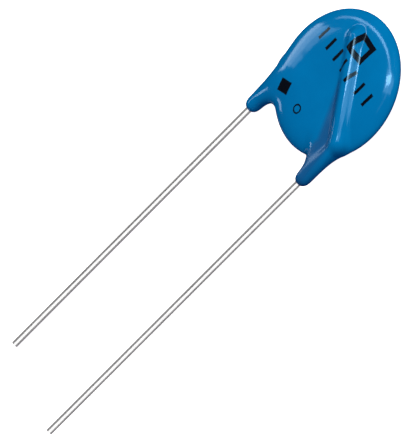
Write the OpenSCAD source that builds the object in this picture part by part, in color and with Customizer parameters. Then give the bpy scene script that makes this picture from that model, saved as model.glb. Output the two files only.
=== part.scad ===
// Radial-lead metal oxide varistor: a zinc-oxide disc with a fired silver
// electrode on each face, a tinned copper lead soldered across each electrode
// at a slant, and an epoxy coating dipped over all of it. The coating is a thin
// disc with an elliptical rim. It swells into a ridge over each inner lead and
// runs down each lead as a short neck.
// The part lies on its back face, front face up, with the leads along -Y.
// The origin is at the centre of the bounding box's base.

/* [Coated disc] */
// Diameter of the coated disc
coat_d = 22; // [20:0.1:24]
// Thickness of the coated disc between its flat faces
coat_t = 3; // [2.8:0.1:3.6]
// Width of the rounded rim, from the flat face to the edge
rim_w = 5; // [3:0.1:5.4]
// Radius of the ridge over each inner lead
ridge_r = 1.4; // [1.2:0.05:1.5]
// Height of the ridge above the wire inside it
ridge_over = 0.6; // [0.5:0.05:0.7]
// Width of the fillet along each ridge
ridge_blend = 0.7; // [0.4:0.1:1.6]

/* [Necks] */
// How far below the disc's centre the coating ends on the front lead
neck_front = 12.75; // [12:0.05:15]
// How far below the disc's centre the coating ends on the back lead
neck_back = 14.05; // [12:0.05:15]
// Radius of each neck's end
neck_r = 0.95; // [0.85:0.05:1.2]
// How far the front neck widens towards the middle where it meets the disc
widen_front = 4.2; // [2:0.1:4.4]
// How far the back neck widens towards the middle where it meets the disc
widen_back = 3; // [2:0.1:4.4]
// Width of the fillet between the front neck and the disc
web_front = 1.9; // [1.4:0.05:2.8]
// Width of the fillet between the back neck and the disc
web_back = 2.6; // [1.4:0.05:2.8]

/* [Leads] */
// Diameter of the lead wire
wire_d = 1; // [0.6:0.05:1.1]
// Centre line of the disc to the front lead
front_offset = 8.5; // [7.5:0.05:9]
// Centre line of the disc to the back lead
back_offset = 8.9; // [7.5:0.05:9]
// Disc's centre to the front lead's tip
front_tip = 65.2; // [25:0.1:80]
// Disc's centre to the back lead's tip
back_tip = 63.9; // [25:0.1:80]
// Inner bend radius at the wire's centre line
bend_r = 1.6; // [1:0.1:3]
// Length of the inner run, from the bend's corner to its cut end
inner_len = 15.2; // [12:0.1:15.6]
// Extra radius that the solder dip leaves on the wire inside the coating
dip_film = 0.03; // [0.01:0.01:0.03]

/* [Ceramic disc] */
// Diameter of the zinc-oxide disc
disc_d = 20; // [18:0.1:20]
// Thickness of the zinc-oxide disc
disc_t = 1.3; // [1:0.05:1.4]
// Diameter of the silver electrodes
electrode_d = 18.4; // [16:0.1:18.4]
// Thickness of each silver electrode
electrode_t = 0.04; // [0.03:0.01:0.06]
// Thickness of the solder film under the wire
solder_film = 0.04; // [0.03:0.01:0.08]
// Radius of the solder fillet round the wire
solder_r = 0.82; // [0.7:0.02:0.9]
// Length of the solder along the wire
solder_len = 11; // [8:0.5:12]

/* [Hidden] */
$fn = 64;
blue = [0.0, 0.44, 0.68];
tin = [0.80, 0.80, 0.81];
solder_grey = [0.68, 0.69, 0.71];
silver = [0.86, 0.86, 0.84];
zno = [0.20, 0.20, 0.21];

R = coat_d / 2;
hp = coat_t / 2;
wire_r = wire_d / 2;
// height of each wire's centre line off the disc's middle plane
lead_z = disc_t / 2 + electrode_t + solder_film + wire_r;
// corner of each inner run's 45 degree bend, from the disc's centre line
front_bend = [front_offset, 4.1 - front_offset];
back_bend = [back_offset, 4.0 - back_offset];
// far end of each ridge, over the inner run's cut end
ridge_end = 0.3;
// radius of the coating round the straight wire, and its fillet
cover_r = wire_r + 0.28;
cover_blend = 0.5;
// shares of the wire's height and of its own thickness that the web loses by
// the root
web_sink = 0.8;
web_thin = 0.55;

// ---------------------------------------------------------------- coating
// One neck and ridge: [side, offset, z, end y, root y, blend, how far the neck's
// outer edge draws in and its inner edge widens by the root]
front_limb = [1, front_offset, lead_z, -neck_front, front_bend.y, web_front, 1.95,
              widen_front];
back_limb = [-1, back_offset, -lead_z, -neck_back, back_bend.y, web_back, 1.65,
             widen_back];

// smallest of two fields, with a fillet of width k where they meet
function smin(a, b, k) =
    let (h = max(k - abs(a - b), 0) / k) min(a, b) - h * h * k / 4;
function unit(v) = v / norm(v);
function clamp01(t) = min(max(t, 0), 1);

// disc: flat faces, elliptical rim
function f_disc(x, y, z) =
    (norm([max(norm([x, y]) - (R - rim_w), 0) / rim_w, z / hp]) - 1) * hp;

// neck: a rod round the straight lead, which widens into a thinner web and sinks
// to the disc's middle plane as it nears the disc
function f_neck(x, y, z, l) =
    let (ya = l[3] + neck_r,
         t = clamp01((y - ya) / (l[4] - ya)), e = pow(t, 1.3),
         w = 1 + (l[7] - l[6]) * e / (2 * neck_r),
         dx = (x - l[0] * (l[1] - (l[6] + l[7]) * e / 2)) / w,
         dy = y < ya ? y - ya : (y > l[4] ? (y - l[4]) / 1.5 : 0))
    norm([dx, dy, z - l[2] * (1 - web_sink * t)]) - neck_r * (1 - web_thin * t * t);

// cover: a rod round the straight wire, which follows it where the neck widens
function f_cover(x, y, z, l) =
    let (ya = l[3] + neck_r + cover_blend,
         dy = y < ya ? y - ya : (y > l[4] ? y - l[4] : 0))
    norm([x - l[0] * l[1], dy, z - l[2]]) - cover_r;

// ridge: a rod with round ends along the slanted inner run, wider than the wire
// and lower, so that only its back stands out of the face
function f_ridge(x, y, z, l) =
    let (a = [l[0] * l[1], l[4], l[0] * (lead_z + wire_r + ridge_over - ridge_r)],
         u = [-l[0], 1, 0] / sqrt(2),
         len = inner_len + ridge_end,
         q = [x, y, z] - a,
         t = min(max(q * u, 0), len))
    norm(q - t * u) - ridge_r;

function field(x, y, z) =
    let (a = f_disc(x, y, z),
         b = smin(a, f_neck(x, y, z, back_limb), back_limb[5]),
         c = smin(b, f_cover(x, y, z, back_limb), cover_blend),
         d = smin(c, f_ridge(x, y, z, back_limb), ridge_blend),
         e = smin(d, f_neck(x, y, z, front_limb), front_limb[5]),
         f = smin(e, f_cover(x, y, z, front_limb), cover_blend))
    smin(f, f_ridge(x, y, z, front_limb), ridge_blend);

// distance along direction d from point p to the skin, by bisection
function reach(p, d, lo, hi, n = 15) =
    let (m = (lo + hi) / 2, q = p + m * d)
    n == 0 ? m : (field(q.x, q.y, q.z) < 0 ? reach(p, d, m, hi, n - 1)
                                           : reach(p, d, lo, m, n - 1));

// the same for the first way out, found in short steps
function exit(p, d, t = 0.3) =
    let (q = p + t * d)
    t > 26 || field(q.x, q.y, q.z) > 0 ? reach(p, d, t - 0.3, t) : exit(p, d, t + 0.3);

// The disc's centre, seen from the origin: the back ridge rests on the base
rise = lead_z + max([for (t = [-2 : 0.2 : 6], w = [-1.2 : 0.2 : 1.2])
    reach([t - w - back_bend.x, back_bend.y + t + w, -lead_z], [0, 0, -1], 0, 3)]);
shift_y = (max(front_tip, back_tip) - R) / 2;

// The skin is laid out in stations round the outline. Each station starts from
// a point on a spine, which runs up one neck, over the disc in an arch and down
// the other neck, and ends at the rim. The outer stations fan out over the top
// of the disc, and the inner ones reach the edge between the necks.
tip_n = 5;      // stations round half a neck's end
neck_n = 5;     // stations along a neck
arch_n = 40;    // stations over the arch
eps = 0.13;     // half the gap between the outer and the inner spine points
// height up to which the stations belong to a neck
neck_top = -10.7;

// spine height between the two leads' planes
function spine_z(x) = lead_z * min(max(x / 7, -1), 1);
// arch of the spine, s from 0 at the back lead's side to 1 at the front's
function arch(s) =
    let (a = 180 * (1 - s), m = (front_offset - back_offset) / 2,
         w = (front_offset + back_offset) / 2)
    [m + w * cos(a), neck_top + 0.3 + 9.8 * sin(a)];

// Stations for one neck, from its end upwards: [spine point, aim].
// out = 1 for the outer side of the neck, -1 for the inner side
function neck_rays(l, out) =
    let (d = l[0] * out, c = [l[0] * l[1], l[3] + neck_r])
    concat(
        [for (i = [0 : tip_n - 1])
            let (a = 90 * (i + 0.5) / tip_n, v = [d * sin(a), -cos(a)])
            [c + eps * v, v]],
        [for (i = [1 : neck_n])
            let (y = c.y + (neck_top - c.y) * i / neck_n)
            [[c.x + d * eps, y], [d, 0]]]);

// Outer stations over the arch aim at points round the top of the rim, and
// inner ones at points along the edge between the necks, which turns slowly
// from straight across at each neck to straight down at the middle
function arch_rays(out) =
    [for (i = [0 : arch_n])
        let (s = i / arch_n, g = arch(s), r = 180 * (1 - s),
             n = unit([cos(r), sin(r)]),
             o = g + out * eps * n,
             a = 226 - 272 * s,
             t = out > 0 ? 14 * [cos(a), sin(a)]
                 : [13 * s - 6.2, neck_top + 0.3 - 0.5 * sin(180 * s)])
        [o, unit(t - o)]];

function flip(v) = [for (i = [len(v) - 1 : -1 : 0]) v[i]];
function chain(out) =
    concat(neck_rays(back_limb, out), arch_rays(out),
           flip(neck_rays(front_limb, out)));

// One station's section, from the top of the spine over the rim to the bottom:
// straight up, then round the rim's own centre, then straight down.
flat_n = 8;    // columns on each flat stretch
rim_n = 7;      // steps from the rim's edge to its shoulder
function section(st) =
    let (p = [st[0].x, st[0].y, spine_z(st[0].x)], d0 = [st[1].x, st[1].y, 0],
         // over the disc, the section's centre line comes back to mid height
         z1 = p.z * clamp01((norm(st[0]) - R + 0.8) / 1.2),
         L = exit([p.x, p.y, z1], d0),
         lr = min(2.6, 0.75 * L),
         q = [p.x, p.y, z1] + (L - lr) * d0)
    concat(
        [for (i = [0 : flat_n - 1]) let (o = p + (q - p) * i / flat_n)
            o + reach(o, [0, 0, 1], 0, 5) * [0, 0, 1]],
        [for (i = [-rim_n : rim_n]) let (a = -90 * i / rim_n, v = cos(a) * d0 + sin(a) * [0, 0, 1])
            q + exit(q, v) * v],
        [for (i = [flat_n - 1 : -1 : 0]) let (o = p + (q - p) * i / flat_n)
            o - reach(o, [0, 0, -1], 0, 5) * [0, 0, 1]]);

module coating_skin() {
    outer = chain(1);
    inner = chain(-1);
    n = len(outer);
    m = 2 * flat_n + 2 * rim_n + 1;
    loop = concat(outer, flip(inner));
    pts = [for (s = loop) each section(s)];
    // quads round the outline, wound to face outwards
    skin = [for (i = [0 : 2 * n - 1], j = [0 : m - 2])
        let (a = i * m + j, b = ((i + 1) % (2 * n)) * m + j)
        each [[a, a + 1, b], [a + 1, b + 1, b]]];
    // strips that close the gap between the outer and the inner spine points
    top = [for (i = [0 : n - 2])
        let (a = i * m, b = (i + 1) * m, c = (2 * n - 1 - i) * m, e = (2 * n - 2 - i) * m)
        each [[a, b, c], [b, e, c]]];
    bottom = [for (f = top) [f[0] + m - 1, f[2] + m - 1, f[1] + m - 1]];
    polyhedron(pts, concat(skin, top, bottom), convexity = 6);
}

// The pieces inside leave their own shapes in the coating. Each round cavity
// is drawn a few microns large, so that its flats clear the round piece in it.
function round_flats(r, n) = r / cos(180 / n);
module cavities() {
    zno_solid(round_flats(disc_d / 2, $fn));
    for (side = [0, 180]) rotate([0, side, 0])
        cylinder(r = round_flats(electrode_d / 2, $fn), h = disc_t / 2 + electrode_t);
    solder_mound(front_bend, round_flats(solder_r, 20), 0.3, $fn = 20);
    back() solder_mound(back_bend, round_flats(solder_r, 20), 0.3, $fn = 20);
    lead_solid(front_bend, front_tip, neck_front, 0.04, $fn = 32);
    back() lead_solid(back_bend, back_tip, neck_back, 0.04, $fn = 32);
}

// resize() keeps the size here: it holds the shell together as one smooth mesh
module epoxy_coating() {
    color(blue) place() resize([0, 0, 0]) difference() {
        coating_skin();
        cavities($fn = 72);
    }
}

// ---------------------------------------------------------------- placing
module place() { translate([0, shift_y, rise]) children(); }
// turns a front part over to the back face
module back() { rotate([0, 180, 0]) children(); }

// ---------------------------------------------------------------- ceramic
module zno_solid(r = disc_d / 2) {
    c = 0.15;
    rotate_extrude() polygon([[0, -disc_t / 2], [r - c, -disc_t / 2],
        [r, -disc_t / 2 + c], [r, disc_t / 2 - c],
        [r - c, disc_t / 2], [0, disc_t / 2]]);
}
module zno_disc() { color(zno) place() zno_solid(); }

module electrode_solid(r = electrode_d / 2) {
    translate([0, 0, disc_t / 2]) cylinder(r = r, h = electrode_t);
}
module front_electrode() { color(silver) place() electrode_solid(); }
module back_electrode() { color(silver) place() back() electrode_solid(); }

// ---------------------------------------------------------------- solder
// A rod of solder with round ends, laid along the inner run and cut flat
// where it wets the electrode
module solder_mound(bend, r = solder_r, z0 = disc_t / 2 + electrode_t) {
    start = inner_len - solder_len - 1.2;
    intersection() {
        translate([bend.x, bend.y, lead_z - 0.45]) rotate([0, 0, 45]) rotate([-90, 0, 0])
            translate([0, 0, start]) {
                cylinder(r = r, h = solder_len);
                sphere(r = r);
                translate([0, 0, solder_len]) sphere(r = r);
            }
        translate([-12, -12, z0]) cube([24, 24, 3]);
    }
}
module front_solder() {
    color(solder_grey) place() difference() {
        solder_mound(front_bend);
        lead_solid(front_bend, front_tip, neck_front);
    }
}
module back_solder() {
    color(solder_grey) place() back() difference() {
        solder_mound(back_bend);
        lead_solid(back_bend, back_tip, neck_back);
    }
}

// ---------------------------------------------------------------- leads
// One wire: a round pin from its tip to the neck, then on inside the coating,
// where the solder dip thickens it a little, to a 45 degree bend and a straight
// inner run across the electrode.
// lap > 0 gives the wire-shaped cavity, whose lengths run into one another
module lead_solid(bend, tip, neck, lap = 0) {
    // whole microns, so the lengths meet exactly
    tangent = round(bend_r * tan(22.5) * 1000) / 1000;
    br = tangent / tan(22.5);
    r0 = lap > 0 ? round_flats(wire_r, $fn) : wire_r;
    r1 = lap > 0 ? round_flats(wire_r + dip_film, $fn) : wire_r + dip_film;
    translate([bend.x, 0, lead_z]) {
        translate([0, -tip, 0]) rotate([-90, 0, 0])
            cylinder(r = r0, h = tip - neck + (lap > 0 ? 0.3 : 0));
        translate([0, -neck, 0]) rotate([-90, 0, 0])
            cylinder(r1 = r0, r2 = r1, h = neck + bend.y - tangent + lap);
        translate([-br, bend.y - tangent, 0]) {
            rotate_extrude(angle = 45) translate([br, 0]) circle(r = r1 + lap / 10);
            rotate([0, 0, 45]) translate([br, -lap, 0]) rotate([-90, 0, 0])
                cylinder(r = r1, h = inner_len - tangent + lap);
        }
    }
}
module front_lead() { color(tin) place() lead_solid(front_bend, front_tip, neck_front); }
module back_lead() { color(tin) place() back() lead_solid(back_bend, back_tip, neck_back); }

epoxy_coating();
zno_disc();
front_electrode();
back_electrode();
front_solder();
back_solder();
front_lead();
back_lead();
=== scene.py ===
import math
import bpy
import numpy as np
from mathutils import Matrix, Vector


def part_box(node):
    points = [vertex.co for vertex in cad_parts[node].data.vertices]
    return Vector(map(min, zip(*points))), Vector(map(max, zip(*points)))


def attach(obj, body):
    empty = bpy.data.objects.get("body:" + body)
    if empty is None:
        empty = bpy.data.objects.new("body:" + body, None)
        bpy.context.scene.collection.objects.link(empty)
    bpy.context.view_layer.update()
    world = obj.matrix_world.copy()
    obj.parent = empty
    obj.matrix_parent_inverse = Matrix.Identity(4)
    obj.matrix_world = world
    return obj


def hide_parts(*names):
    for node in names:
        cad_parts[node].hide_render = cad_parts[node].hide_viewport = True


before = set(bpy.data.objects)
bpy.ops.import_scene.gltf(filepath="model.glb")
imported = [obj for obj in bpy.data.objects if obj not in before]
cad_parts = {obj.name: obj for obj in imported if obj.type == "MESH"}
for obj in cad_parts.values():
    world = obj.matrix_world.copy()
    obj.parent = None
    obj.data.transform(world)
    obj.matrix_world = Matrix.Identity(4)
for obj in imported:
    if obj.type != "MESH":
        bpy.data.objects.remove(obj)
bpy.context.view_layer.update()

MM = 0.001
z_lo, z_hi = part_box("zno_disc")
# the coated disc's centre, in millimetres of the CAD frame
CEN = np.array([(z_lo[i] + z_hi[i]) / 2 / MM for i in range(3)])

# ------------------------------------------------------------------ camera
# The view is fixed by the disc's own axes: azimuth and elevation of the line
# of sight, the roll, the scale and the place of the disc's centre in the frame.
AZ, EL, ROLL = math.radians(28.34), math.radians(48.99), math.radians(-67.18)
SCALE = 7.084                   # pixels a millimetre, in the 406 x 444 frame
CX, CY = 337.61, 83.476        # where the disc's centre falls
v = Vector((math.cos(AZ) * math.cos(EL), math.sin(AZ) * math.cos(EL), math.sin(EL)))
up0 = (Vector((0, 0, 1)) - v * v.z).normalized()
right0 = up0.cross(v)
right = math.cos(ROLL) * right0 + math.sin(ROLL) * up0
up = -math.sin(ROLL) * right0 + math.cos(ROLL) * up0
LENS, SENSOR = 1000.0, 36.0
dist = (444 / SCALE / 2) / (SENSOR / 2 / LENS)          # millimetres
aim = Vector(CEN) + right * ((203 - CX) / SCALE) - up * ((222 - CY) / SCALE)
cam_data = bpy.data.cameras.new("camera")
cam_data.lens, cam_data.sensor_width, cam_data.sensor_fit = LENS, SENSOR, "AUTO"
cam_data.clip_start, cam_data.clip_end = 0.05, 60.0
cam = bpy.data.objects.new("camera", cam_data)
bpy.context.scene.collection.objects.link(cam)
rot = Matrix((right, up, v)).transposed()
cam.matrix_world = Matrix.Translation((aim + v * dist) * MM) @ rot.to_4x4()
bpy.context.scene.camera = cam

# ------------------------------------------------------------------ form of the coating
R, HP, RIM = 11.0, 1.5, 5.0
LEAD_Z, NECK_R, RIDGE_R, RIDGE_Z, RIDGE_K = 1.23, 0.95, 1.4, 0.93, 0.7
INNER, RIDGE_END = 15.2, 0.3
# side, offset, height, neck's end, ridge's root, fillet, outer and inner growth
LIMBS = ((-1, 8.9, -LEAD_Z, -14.05, 4.0 - 8.9, 2.6, -1.65, 3.0),
         (1, 8.5, LEAD_Z, -12.75, 4.1 - 8.5, 1.9, -1.95, 4.2))
SINK, THIN = 0.8, 0.55          # how far the webs sink to the middle plane, and thin
COVER = 0.78                    # radius of the coat round each straight wire


def smin(a, b, k):
    h = np.maximum(k - np.abs(a - b), 0) / k
    return np.minimum(a, b) - h * h * k / 4


def field(x, y, z):
    """Signed field of the coating's skin in the disc's own axes, millimetres."""
    rho = np.hypot(x, y)
    out = (np.hypot(np.maximum(rho - (R - RIM), 0) / RIM, z / HP) - 1) * HP
    for side, p, lz, ye, yb, k, outer, inner in LIMBS:
        ya = ye + NECK_R
        t = np.clip((y - ya) / (yb - ya), 0, 1)
        e = t ** 1.3
        w = 1 + (outer + inner) * e / (2 * NECK_R)
        dx = (x - side * (p + (outer - inner) * e / 2)) / w
        dy = np.where(y < ya, y - ya, np.where(y > yb, (y - yb) / 1.5, 0))
        out = smin(out, np.sqrt(dx * dx + dy * dy + (z - lz * (1 - SINK * t)) ** 2)
                   - NECK_R * (1 - THIN * t * t - 0.15 * t ** 4), k)
        dy = np.where(y < ya + 0.5, y - ya - 0.5, np.where(y > yb, y - yb, 0))
        out = smin(out, np.sqrt((x - side * p) ** 2 + dy * dy + (z - lz) ** 2) - COVER, 0.9)
        ax, ay, ux, uy = side * p, yb, -side / math.sqrt(2), 1 / math.sqrt(2)
        t = np.clip((x - ax) * ux + (y - ay) * uy, 0, INNER + RIDGE_END)
        out = smin(out, np.sqrt((x - ax - t * ux) ** 2 + (y - ay - t * uy) ** 2
                                + (z - side * RIDGE_Z) ** 2) - RIDGE_R, RIDGE_K)
    return out


def gradient(P, f=None, e=2e-3):
    f = field(P[:, 0], P[:, 1], P[:, 2]) if f is None else f
    g = np.empty_like(P)
    for i in range(3):
        Q = P.copy()
        Q[:, i] += e
        g[:, i] = (field(Q[:, 0], Q[:, 1], Q[:, 2]) - f) / e
    return f, g


def surface_nets(lo, hi, h):
    """Even quad mesh of the field's zero surface: one point in each cell the
    skin passes through, joined across every grid edge that it cuts."""
    n = [int(math.ceil((hi[i] - lo[i]) / h)) + 1 for i in range(3)]
    ax = [lo[i] + h * np.arange(n[i]) for i in range(3)]
    F = field(ax[0][:, None, None], ax[1][None, :, None], ax[2][None, None, :])
    S = F < 0
    c = [m - 1 for m in n]
    acc = np.zeros((c[0], c[1], c[2], 3))
    cnt = np.zeros((c[0], c[1], c[2]))
    for a in range(3):
        b1, b2 = (a + 1) % 3, (a + 2) % 3
        for o1 in (0, 1):
            for o2 in (0, 1):
                s0 = [None] * 3
                s0[a], s0[b1], s0[b2] = slice(0, c[a]), slice(o1, o1 + c[b1]), slice(o2, o2 + c[b2])
                s1 = list(s0)
                s1[a] = slice(1, c[a] + 1)
                f0, f1 = F[tuple(s0)], F[tuple(s1)]
                cross = S[tuple(s0)] != S[tuple(s1)]
                t = np.where(cross, f0 / np.where(cross, f0 - f1, 1), 0)
                cnt += cross
                acc[..., a] += np.where(cross, t, 0)
                acc[..., b1] += np.where(cross, o1, 0)
                acc[..., b2] += np.where(cross, o2, 0)
    active = cnt > 0
    index = -np.ones(active.shape, dtype=np.int64)
    cells = np.argwhere(active)
    index[active] = np.arange(len(cells))
    P = np.array(lo) + h * (cells + acc[active] / cnt[active][:, None])
    quads = []
    for a in range(3):
        b1, b2 = (a + 1) % 3, (a + 2) % 3
        s0 = [slice(None)] * 3
        s1 = [slice(None)] * 3
        s0[a], s1[a] = slice(0, -1), slice(1, None)
        cross = S[tuple(s0)] != S[tuple(s1)]
        q = np.argwhere(cross)
        q = q[(q[:, b1] > 0) & (q[:, b2] > 0)]
        inside = S[tuple(s0)][tuple(q.T)]
        d1, d2 = np.eye(3, dtype=int)[b1], np.eye(3, dtype=int)[b2]
        ring = [index[tuple((q - o).T)] for o in (d1 + d2, d2, 0 * d1, d1)]
        f = np.stack(ring, 1)
        f[~inside] = f[~inside][:, ::-1]
        quads.append(f)
    return P, np.concatenate(quads)


def settle(P, quads, rounds):
    """Evens the mesh out along the skin, and brings each point back to it."""
    e = np.concatenate([quads[:, [0, 1]], quads[:, [1, 2]], quads[:, [2, 3]], quads[:, [3, 0]]])
    e = np.unique(np.sort(e, axis=1), axis=0)
    deg = np.bincount(e.ravel(), minlength=len(P))[:, None]
    for k in range(rounds + 2):
        if k < rounds:
            s = np.zeros_like(P)
            for i in range(3):
                s[:, i] = (np.bincount(e[:, 0], P[e[:, 1], i], len(P))
                           + np.bincount(e[:, 1], P[e[:, 0], i], len(P)))
            P = P + 0.5 * (s / deg - P)
        f, g = gradient(P)
        step = (f / np.maximum((g * g).sum(1), 0.05))[:, None] * g
        P = P - np.clip(step, -0.1, 0.1)
    return P


def mesh_object(name, P, faces, smooth=True):
    me = bpy.data.meshes.new(name)
    me.from_pydata((P * MM).tolist(), [], faces.tolist() if hasattr(faces, "tolist") else faces)
    me.validate()
    me.update()
    if smooth:
        me.polygons.foreach_set("use_smooth", [True] * len(me.polygons))
    ob = bpy.data.objects.new(name, me)
    bpy.context.scene.collection.objects.link(ob)
    return ob


PITCH = 0.17
P, Q = surface_nets((-11.6, -15.0, -3.0), (11.6, 11.6, 3.0), PITCH)
P = settle(P, Q, 4)
coating = mesh_object("coating_skin", P + CEN, Q)


# ------------------------------------------------------------------ materials
def material(name):
    m = bpy.data.materials.new(name)
    m.use_nodes = True
    m.node_tree.nodes.clear()
    return m, m.node_tree.nodes, m.node_tree.links


def principled(nodes, links):
    out = nodes.new("ShaderNodeOutputMaterial")
    b = nodes.new("ShaderNodeBsdfPrincipled")
    links.new(b.outputs["BSDF"], out.inputs["Surface"])
    return b


def coords(nodes):
    return nodes.new("ShaderNodeTexCoord").outputs["Object"]


def noise(nodes, links, vec, scale, detail=2.0, rough=0.5):
    n = nodes.new("ShaderNodeTexNoise")
    n.inputs["Scale"].default_value = scale
    n.inputs["Detail"].default_value = detail
    n.inputs["Roughness"].default_value = rough
    links.new(vec, n.inputs["Vector"])
    return n.outputs["Fac"]


def ramp(nodes, links, fac, lo, hi, a, b):
    r = nodes.new("ShaderNodeMapRange")
    for k, x in (("From Min", lo), ("From Max", hi), ("To Min", a), ("To Max", b)):
        r.inputs[k].default_value = x
    links.new(fac, r.inputs["Value"])
    return r.outputs["Result"]


def mix_rgb(nodes, links, fac, a, b):
    m = nodes.new("ShaderNodeMix")
    m.data_type = "RGBA"
    for sock, val in ((m.inputs[0], fac), (m.inputs[6], a), (m.inputs[7], b)):
        if isinstance(val, (tuple, float)):
            sock.default_value = val if isinstance(val, float) else (*val, 1.0)
        else:
            links.new(val, sock)
    return m.outputs[2]


def bump(nodes, links, height, strength, distance):
    b = nodes.new("ShaderNodeBump")
    b.inputs["Strength"].default_value = strength
    b.inputs["Distance"].default_value = distance
    links.new(height, b.inputs["Height"])
    return b.outputs["Normal"]


def srgb(r, g, b):
    return tuple(((c / 255 + 0.055) / 1.055) ** 2.4 if c > 10 else c / 255 / 12.92 for c in (r, g, b))


def math_node(nodes, links, op, *args):
    m = nodes.new("ShaderNodeMath")
    m.operation = op
    for k, a in enumerate(args):
        if isinstance(a, (int, float)):
            m.inputs[k].default_value = a
        else:
            links.new(a, m.inputs[k])
    return m.outputs[0]


# blue epoxy: even pigment with a faint cloud, a glossy cured surface and a few
# plain ink shapes on the front face
m_coat, nd, lk = material("blue_epoxy")
bsdf = principled(nd, lk)
oc = coords(nd)
cloud = noise(nd, lk, oc, 260.0, 3.0, 0.55)
speck = noise(nd, lk, oc, 5200.0, 2.0, 0.5)
BASE_A, BASE_B = (0.0, 0.158, 0.400), (0.0, 0.172, 0.428)
col = mix_rgb(nd, lk, ramp(nd, lk, cloud, 0.3, 0.7, 0.0, 1.0), BASE_A, BASE_B)

sep = nd.new("ShaderNodeSeparateXYZ")
lk.new(oc, sep.inputs[0])
M = lambda op, *a: math_node(nd, lk, op, *a)
X, Y, Z = (M("SUBTRACT", sep.outputs[i], float(CEN[i] * MM)) for i in range(3))


def box_distance(x, y, cx, cy, hw, hh, turn=0.0):
    """Distance outside a rectangle centred at (cx, cy), millimetres in."""
    x, y = M("SUBTRACT", x, cx * MM), M("SUBTRACT", y, cy * MM)
    if turn:
        c, s = math.cos(turn), math.sin(turn)
        x, y = (M("ADD", M("MULTIPLY", x, c), M("MULTIPLY", y, s)),
                M("SUBTRACT", M("MULTIPLY", y, c), M("MULTIPLY", x, s)))
    return M("MAXIMUM", M("SUBTRACT", M("ABSOLUTE", x), hw * MM), M("SUBTRACT", M("ABSOLUTE", y), hh * MM))


def along(x, y, ax, ay, bx, by, ra, rb):
    """Distance outside a tapered bar from (ax, ay) to (bx, by), radii ra and rb."""
    x, y = M("SUBTRACT", x, ax * MM), M("SUBTRACT", y, ay * MM)
    n = math.hypot(bx - ax, by - ay)
    ux, uy = (bx - ax) / n, (by - ay) / n
    t = M("ADD", M("MULTIPLY", x, ux), M("MULTIPLY", y, uy))
    t = M("MINIMUM", M("MAXIMUM", t, 0.0), n * MM)
    dx, dy = M("SUBTRACT", x, M("MULTIPLY", t, ux)), M("SUBTRACT", y, M("MULTIPLY", t, uy))
    d = M("SQRT", M("ADD", M("MULTIPLY", dx, dx), M("MULTIPLY", dy, dy)))
    return M("SUBTRACT", d, M("ADD", M("MULTIPLY", t, (rb - ra) / n), ra * MM))


# painted shade: the coat's colour is darkened down the front neck and beside the front ridge, standing in for the
# shade of a slope that the form does not have
painted_shade = M("MINIMUM", along(X, Y, 8.4, -13.0, 7.2, -7.0, 1.3, 1.5),
         along(X, Y, 7.2, -6.2, 1.5, 1.0, 1.3, 0.35))
painted_shade = M("MULTIPLY", ramp(nd, lk, painted_shade, -0.45 * MM, 0.45 * MM, 0.8, 0.0),
         ramp(nd, lk, Z, 0.0, 0.8 * MM, 0.0, 1.0))
# mix the painted shade's dark blue into the coat's colour
col = mix_rgb(nd, lk, painted_shade, col, (0.005, 0.068, 0.210))

wob = M("MULTIPLY", M("SUBTRACT", noise(nd, lk, oc, 2600.0, 1.0, 0.5), 0.5), 0.10 * MM)
# a row of plain upright bars across the face
period = 2.3 * MM
bar = M("SUBTRACT", M("ABSOLUTE", M("SUBTRACT", M("MODULO", M("ADD", X, 23.0 * MM + period * 0.5 + 0.05 * MM), period),
                                    period * 0.5)), 0.27 * MM)
row = M("MAXIMUM", bar, box_distance(X, Y, 0.0, 2.95, 7.6, 1.1))
# a plain frame above it, a filled lozenge and a ring below
frame_d = M("SUBTRACT", M("ABSOLUTE", box_distance(X, Y, -0.1, 6.55, 1.35, 1.25)), 0.42 * MM)
block = box_distance(X, Y, -5.3, -6.5, 1.05, 0.95, 0.35)
rx, ry = M("SUBTRACT", X, -0.8 * MM), M("SUBTRACT", Y, -6.7 * MM)
ring = M("SUBTRACT", M("ABSOLUTE", M("SUBTRACT", M("SQRT", M("ADD", M("MULTIPLY", rx, rx), M("MULTIPLY", ry, ry))),
                                     0.62 * MM)), 0.12 * MM)
shape = M("MINIMUM", M("MINIMUM", row, frame_d), M("MINIMUM", block, ring))
shape = M("ADD", shape, wob)
ink = M("MULTIPLY", ramp(nd, lk, shape, -0.05 * MM, 0.05 * MM, 1.0, 0.0),
        ramp(nd, lk, Z, 0.2 * MM, 0.3 * MM, 0.0, 1.0))
col = mix_rgb(nd, lk, ink, col, (0.003, 0.004, 0.008))
lk.new(col, bsdf.inputs["Base Color"])
# roughness rises a little under the ink and under the painted shade
rough = M("ADD", ramp(nd, lk, speck, 0.3, 0.7, 0.085, 0.115),
          M("ADD", M("MULTIPLY", ink, 0.06), M("MULTIPLY", painted_shade, 0.25)))
lk.new(rough, bsdf.inputs["Roughness"])
bsdf.inputs["IOR"].default_value = 1.5
bsdf.inputs["Specular Tint"].default_value = (0.38, 0.72, 1.0, 1.0)
lk.new(bump(nd, lk, noise(nd, lk, oc, 700.0, 1.0, 0.4), 0.02, 0.0003), bsdf.inputs["Normal"])

# tinned wire: bright, with faint drawing lines along its length
m_lead, nd, lk = material("tinned_wire")
bsdf = principled(nd, lk)
oc = coords(nd)
mp = nd.new("ShaderNodeMapping")
mp.inputs["Scale"].default_value = (1.0, 0.02, 1.0)
lk.new(oc, mp.inputs["Vector"])
lines = noise(nd, lk, mp.outputs["Vector"], 9000.0, 2.0, 0.5)
patch = noise(nd, lk, oc, 700.0, 2.0, 0.5)
col = mix_rgb(nd, lk, ramp(nd, lk, patch, 0.3, 0.7, 0.0, 1.0), (0.80, 0.80, 0.80), (0.90, 0.90, 0.89))
lk.new(col, bsdf.inputs["Base Color"])
bsdf.inputs["Metallic"].default_value = 0.9
lk.new(ramp(nd, lk, lines, 0.3, 0.7, 0.20, 0.30), bsdf.inputs["Roughness"])
lk.new(bump(nd, lk, lines, 0.15, 0.00002), bsdf.inputs["Normal"])

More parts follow.
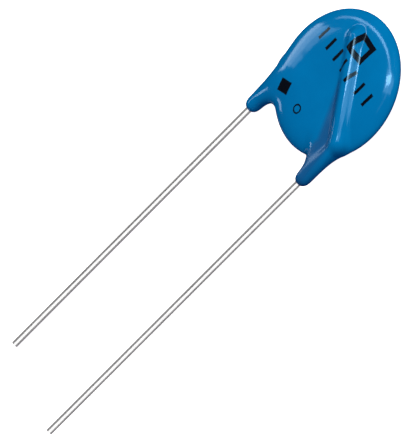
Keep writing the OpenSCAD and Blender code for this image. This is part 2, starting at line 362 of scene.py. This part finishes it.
# zinc oxide: dark fired ceramic with a fine grain
m_zno, nd, lk = material("zinc_oxide")
bsdf = principled(nd, lk)
oc = coords(nd)
grain = noise(nd, lk, oc, 9000.0, 4.0, 0.6)
lk.new(mix_rgb(nd, lk, ramp(nd, lk, grain, 0.3, 0.7, 0.0, 1.0), (0.030, 0.030, 0.034), (0.075, 0.075, 0.080)),
       bsdf.inputs["Base Color"])
bsdf.inputs["Roughness"].default_value = 0.75
lk.new(bump(nd, lk, grain, 0.3, 0.00003), bsdf.inputs["Normal"])

# fired silver paste
m_silver, nd, lk = material("fired_silver")
bsdf = principled(nd, lk)
oc = coords(nd)
g2 = noise(nd, lk, oc, 4000.0, 3.0, 0.6)
lk.new(mix_rgb(nd, lk, ramp(nd, lk, g2, 0.3, 0.7, 0.0, 1.0), (0.66, 0.65, 0.61), (0.80, 0.79, 0.75)),
       bsdf.inputs["Base Color"])
bsdf.inputs["Metallic"].default_value = 1.0
lk.new(ramp(nd, lk, g2, 0.3, 0.7, 0.38, 0.55), bsdf.inputs["Roughness"])

# solder
m_solder, nd, lk = material("solder")
bsdf = principled(nd, lk)
oc = coords(nd)
g3 = noise(nd, lk, oc, 1500.0, 3.0, 0.5)
lk.new(mix_rgb(nd, lk, ramp(nd, lk, g3, 0.3, 0.7, 0.0, 1.0), (0.46, 0.47, 0.49), (0.62, 0.63, 0.65)),
       bsdf.inputs["Base Color"])
bsdf.inputs["Metallic"].default_value = 1.0
lk.new(ramp(nd, lk, g3, 0.3, 0.7, 0.22, 0.38), bsdf.inputs["Roughness"])
lk.new(bump(nd, lk, g3, 0.2, 0.00004), bsdf.inputs["Normal"])

coating.data.materials.append(m_coat)
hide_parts("epoxy_coating")
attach(coating, "root")


def dress(node, mat):
    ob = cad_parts[node]
    if not ob.material_slots:
        ob.data.materials.append(mat)
    for s in ob.material_slots:
        s.material = mat


for node, mat in (("zno_disc", m_zno), ("front_electrode", m_silver), ("back_electrode", m_silver),
                  ("front_solder", m_solder), ("back_solder", m_solder),
                  ("front_lead", m_lead), ("back_lead", m_lead)):
    dress(node, mat)

# ------------------------------------------------------------------ stage
floor_mesh = bpy.data.meshes.new("floor")
s = 3.0
floor_mesh.from_pydata([(-s, -s, 0), (s, -s, 0), (s, s, 0), (-s, s, 0)], [], [(0, 1, 2, 3)])
floor = bpy.data.objects.new("floor", floor_mesh)
bpy.context.scene.collection.objects.link(floor)
m_floor, nd, lk = material("floor")
bsdf = principled(nd, lk)
bsdf.inputs["Base Color"].default_value = (0.9, 0.9, 0.9, 1)
bsdf.inputs["Roughness"].default_value = 0.9
bsdf.inputs["Specular IOR Level"].default_value = 0.0
bsdf.inputs["Emission Color"].default_value = (1, 1, 1, 1)
bsdf.inputs["Emission Strength"].default_value = 1.0
floor_mesh.materials.append(m_floor)
floor.visible_glossy = False
floor.visible_diffuse = False

world = bpy.data.worlds.new("studio")
bpy.context.scene.world = world
world.use_nodes = True
bg = world.node_tree.nodes["Background"]
bg.inputs["Color"].default_value = (0.9, 0.62, 1, 1)
bg.inputs["Strength"].default_value = 0.30
world.cycles_visibility.glossy = False

coat_only = bpy.data.collections.new("coat_only")
coat_only.objects.link(coating)
lead_only = bpy.data.collections.new("lead_only")
for node in ("front_lead", "back_lead"):
    lead_only.objects.link(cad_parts[node])

TARGET = Vector(CEN) * MM
FAR = 2.0


def towards(az, el):
    a, e = math.radians(az), math.radians(el)
    return Vector((math.cos(a) * math.cos(e), math.sin(a) * math.cos(e), math.sin(e)))


def add_area(name, centre, x_axis, y_axis, size_x, size_y, watts, diffuse, glossy, only):
    L = bpy.data.lights.new(name, "AREA")
    L.shape, L.size, L.size_y, L.energy = "RECTANGLE", size_x, size_y, watts
    ob = bpy.data.objects.new(name, L)
    bpy.context.scene.collection.objects.link(ob)
    z_axis = x_axis.cross(y_axis)
    ob.matrix_world = Matrix.Translation(centre) @ Matrix((x_axis, y_axis, z_axis)).transposed().to_4x4()
    ob.visible_camera = False
    ob.visible_diffuse, ob.visible_glossy = diffuse, glossy
    if only is not None:
        ob.light_linking.receiver_collection = only
    return ob


def panel(name, az, el, wide, tall, radiance, only=None, diffuse=False, roll=0.0, dist=FAR, target=None):
    """A soft box seen from the object at az, el, wide x tall degrees across."""
    d = towards(az, el)
    x = Vector((-math.sin(math.radians(az)), math.cos(math.radians(az)), 0.0))
    y = d.cross(x)
    c, s = math.cos(math.radians(roll)), math.sin(math.radians(roll))
    x, y = c * x + s * y, c * y - s * x
    sx, sy = (2 * dist * math.tan(math.radians(q) / 2) for q in (wide, tall))
    return add_area(name, (target or TARGET) + d * dist, x, y, sx, sy, radiance * math.pi * sx * sy,
                    diffuse, True, only)


def strip(name, p, q, wide, radiance, only, dist=FAR):
    """A thin soft box between two directions seen from the object."""
    c = (p + q).normalized()
    x = (q - p).normalized()
    sx, sy = dist * (q - p).length * 1.02, 2 * dist * math.tan(math.radians(wide) / 2)
    return add_area(name, TARGET + c * dist, x, c.cross(x), sx, sy, radiance * math.pi * sx * sy,
                    False, True, only)


def shade(name, az, el, wide, weight, colour=(1, 1, 1), dist=1.2):
    """A soft light that only shades: weight is the share of full white it gives
    to a face that looks straight at it."""
    d = towards(az, el)
    x = Vector((-math.sin(math.radians(az)), math.cos(math.radians(az)), 0.0))
    s = 2 * dist * math.tan(math.radians(wide) / 2)
    ob = add_area(name, TARGET + d * dist, x, d.cross(x), s, s, weight * math.pi ** 2 * dist ** 2,
                  True, False, None)
    ob.data.color = colour
    return ob


shade("key", 84, 54, 34, 1.145, (0.95, 1, 0.88))
shade("under", 60, -70, 60, 0.30)

# left rim: a tall box that fades towards the middle of the disc
BEVEL = (Vector(CEN) + Vector((-7.5, -1.0, 1.3))) * MM
for k, (e0, e1, a0, a1, rad) in enumerate(((20, 30, 189, 207, 4.4), (30, 38, 190, 206, 3.2), (38, 46, 191, 205, 1.9))):
    e = (e0 + e1) / 2
    panel("left_box_%d" % k, (a0 + a1) / 2, e, (a1 - a0) * math.cos(math.radians(e)), e1 - e0, rad, coat_only,
          dist=0.09, target=BEVEL)
# right rim: a thin strip
ARC = [towards(*d) for d in ((185, 30), (177, 36), (168, 46), (161, 52), (148, 61), (143, 66), (126, 74), (118, 79),
                             (80, 87), (-101, 84))]
for k in range(len(ARC) - 1):
    strip("arc_%d" % k, ARC[k], ARC[k + 1], 4.6, (2.5, 5.5, 8.0, 8.0, 7.0, 5.0, 2.8, 1.2, 0.6)[k], coat_only)
# ridge: a small bright source close by, and a wide dim one across it
NEAR_A = (Vector(CEN) + Vector((-0.1, 4.6, 2.3))) * MM
NEAR_B = (Vector(CEN) + Vector((3.0, 2.0, 2.2))) * MM
panel("near_a", 100, 77, 16.0, 7.0, 15.0, coat_only, dist=0.06, target=NEAR_A, roll=45)
panel("near_b", 80, 70, 34.0, 16.0, 2.6, coat_only, dist=0.045, target=NEAR_B, roll=45)
# back neck
NECK = (Vector(CEN) + Vector((-8.06, -10.3, 0.6))) * MM
panel("near_neck", 224, 27, 12.0, 8.0, 4.0, coat_only, dist=0.02, target=NECK)

# the leads mirror a white card, with grey all round it
panel("card", -28, 47, 112, 80, 1.25, lead_only)
panel("grey_under", -60, -50, 120, 90, 0.30, lead_only)
panel("grey_left", 200, 10, 120, 80, 0.30, lead_only)

bpy.context.scene.view_settings.view_transform = "Standard"
bpy.context.scene.view_settings.look = "None"
